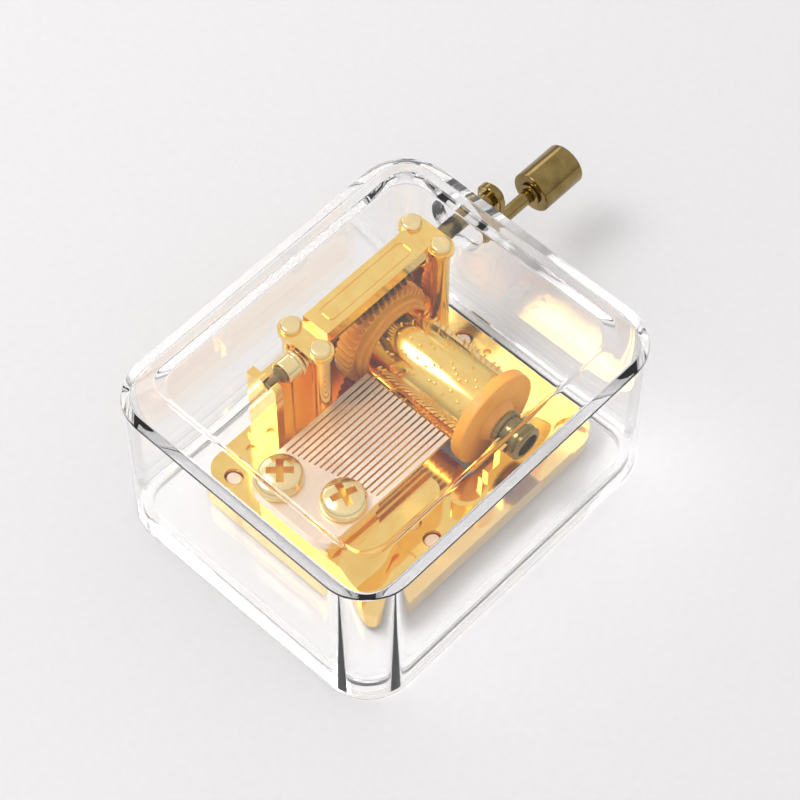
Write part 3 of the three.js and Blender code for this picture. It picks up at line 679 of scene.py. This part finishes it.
def worm_ring(x):
    """One cross-section of the single-start worm, whose gap faces the wheel."""
    gap_middle = 0.23
    shape = [(0.0, 0.0), (0.08, 0.0), (0.15, 0.0), (0.23, 0.0), (0.31, 0.0), (0.38, 0.0)]
    shape += [(0.46, 0.0), (0.53, 0.37), (0.6, 0.75), (0.66, 1.0), (0.73, 1.0), (0.8, 1.0)]
    shape += [(0.86, 0.75), (0.93, 0.37)]
    ring = []
    for share, height in shape:
        turns = share - gap_middle + (x - DRUM_X) / WORM_LEAD
        angle = 2 * math.pi * turns - math.pi / 2
        radius = WORM_ROOT + WORM_DEPTH * height
        ring.append((x, SHAFT_Y + radius * math.cos(angle), SHAFT_Z + radius * math.sin(angle)))
    return ring


def crank_shaft():
    """The shaft with its worm, the ringed collar at its front and the rivet at its end."""
    at, x0, x1, thick = SHAFT_CENTRE, WORM_X0, WORM_X1, SHAFT_RADIUS
    steps = 200
    worm = skin("worm", [worm_ring(x0 + (x1 - x0) * s / steps) for s in range(steps + 1)])
    front = [(0, -10.4), (0.45, -10.4), (0.65, -10.2), (0.65, -8.6), (thick, -8.0), (thick, 6.5)]
    front += [(0, 6.5)]
    rear = [(0, 18.3), (thick, 18.3), (thick, 36.6), (0, 36.6)]
    pieces = [worm, lathe("front", front, "x", at, 56), lathe("rear", rear, "x", at, 56)]
    dress(join("crank_shaft", pieces), "brass", "crank", "worm_shaft")
    ring = [(1.37, -7.6), (1.9, -7.6), (1.9, -5.3), (2.35, -5.3), (2.35, -4.7), (1.37, -4.7)]
    collar = lathe("shaft_collar", rounded(ring, 0.25, 4, True), "x", at, 64, closed=True)
    dress(collar, "pale_gold", "crank", "thrust_collar")
    rivet = [(0, 36.8), (1.33, 36.8), (1.33, 37.4), (1.9, 37.4), (1.6, 37.9), (0.8, 38.2)]
    rivet += [(0, 38.25)]
    dress(lathe("arm_rivet", rounded(rivet, 0.2), "x", at, 56), "brass", "crank", "shaft_rivet")


def crank_arm():
    """A flat arm, wider at the shaft than at the pin, with the edges of its faces drawn in."""
    steps, drop = 24, CRANK_RADIUS
    points = []
    for radius, centre, start in ((2.4, 0, 0), (1.8, -drop, math.pi)):
        for step in range(steps + 1):
            angle = start + math.pi * step / steps
            points.append((radius * math.cos(angle), centre + radius * math.sin(angle)))
    middle = SHAFT_Z - drop / 2
    levels = ((36.2, 0.92, 0.985), (36.35, 1, 1), (37.25, 1, 1), (37.4, 0.92, 0.985))
    rings = []
    for x, narrow, shorten in levels:
        ring = [(x, SHAFT_Y + u * narrow, middle + (v + drop / 2) * shorten) for u, v in points]
        rings.append(ring)
    dress(skin("arm", rings), "brass", "crank", "crank_arm")


def crank_knob():
    """The pin, its washer and the turned knob, bored almost through."""
    at = KNOB_CENTRE
    pin = [(0, 35.7), (1.3, 35.7), (1.6, 35.9), (1.6, 36.2), (1.1, 36.2), (1.1, 37.42)]
    pin += [(1.8, 37.42), (1.8, 38.4), (1.1, 38.6), (1.1, 51.2), (0, 51.2)]
    dress(lathe("knob_pin", rounded(pin, 0.12), "x", at, 56), "brass", "crank", "crank_pin")
    ring = [(1.17, 45.5), (1.9, 45.5), (1.9, 45.95), (1.17, 45.95)]
    washer = lathe("washer", rounded(ring, 0.1, 3, True), "x", at, 56, closed=True)
    dress(washer, "brass", "knob", "knob_washer")
    body = [(0, 51.4), (1.17, 51.4), (1.17, 46.0), (3.45, 46.0), (3.45, 54.2), (0, 54.2)]
    knob = lathe("knob_body", rounded(body, 0.35, 5), "x", at, 96)
    dress(knob, "brass", "knob", "crank_knob")


crank_shaft()
crank_arm()
crank_knob()

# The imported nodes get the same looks, for any that no new piece stands for.
for node, obj in frame["nodes"].items():
    entry = next(p for p in frame["record"]["subparts"] if p["node"] == node)
    obj.data.materials.clear()
    obj.data.materials.append(LOOKS[entry["material_slot"]])


# --- Studio ---------------------------------------------------------------------------------

def studio_floor():
    """A wide sheet just under the case."""
    size, z = 900.0, -0.05
    verts = [(-size, -size, z), (size, -size, z), (size, size, z), (-size, size, z)]
    floor = mesh("floor", verts, [(0, 1, 2, 3)])
    floor.data.materials.append(floor_material())


def area_light(name, place, target, size, power):
    """A rectangular soft box, placed and sized in millimetres."""
    data = bpy.data.lights.new(name, "AREA")
    data.shape = "RECTANGLE"
    data.size, data.size_y = size[0] * MM, size[1] * MM
    data.energy = power
    lamp = bpy.data.objects.new(name, data)
    lamp.location = Vector(place) * MM
    aim = Vector(target) - Vector(place)
    lamp.rotation_euler = aim.to_track_quat("-Z", "Y").to_euler()
    bpy.context.scene.collection.objects.link(lamp)


def studio():
    """An even pale room, dimmer near the horizon, with two soft boxes."""
    studio_floor()
    sky = ((0.0, 0.42), (0.1, 0.5), (0.42, 0.78), (1.0, 0.88))
    world = bpy.data.worlds.new("studio")
    world.use_nodes = True
    nodes, links = world.node_tree.nodes, world.node_tree.links
    height = nodes.new("ShaderNodeSeparateXYZ")
    links.new(nodes.new("ShaderNodeTexCoord").outputs["Generated"], height.inputs["Vector"])
    ramp = nodes.new("ShaderNodeValToRGB")
    links.new(height.outputs["Z"], ramp.inputs["Fac"])
    for i, (place, grey) in enumerate(sky):
        elements = ramp.color_ramp.elements
        element = elements[i] if i < 2 else elements.new(place)
        element.position = place
        element.color = (grey, grey * 0.99, grey * 0.985, 1.0)
    links.new(ramp.outputs["Color"], nodes["Background"].inputs["Color"])
    nodes["Background"].inputs["Strength"].default_value = 1.0
    bpy.context.scene.world = world
    area_light("key", (-200, 280, 560), (0, 0, 10), (240, 240), 1.2)
    area_light("back", (150, 520, 260), (0, 0, 10), (500, 160), 0.35)


def camera():
    """The viewing angle: over the front corner, looking down at the top."""
    heading, elevation, distance = math.radians(46.65), math.radians(56.67), 403.0
    target = Vector((4.07, 1.29, 15.0))
    forward = Vector((
        math.cos(elevation) * math.sin(heading),
        math.cos(elevation) * math.cos(heading),
        -math.sin(elevation),
    ))
    data = bpy.data.cameras.new("camera")
    data.sensor_width = 36.0
    data.lens = 125.7
    view = bpy.data.objects.new("camera", data)
    view.location = (target - forward * distance) * MM
    view.rotation_euler = forward.to_track_quat("-Z", "Y").to_euler()
    bpy.context.scene.collection.objects.link(view)
    bpy.context.scene.camera = view


camera()
studio()
scene = bpy.context.scene
scene.view_settings.view_transform = "Standard"
scene.cycles.max_bounces = 24
scene.cycles.transmission_bounces = 24
scene.cycles.glossy_bounces = 8
scene.cycles.transparent_max_bounces = 16
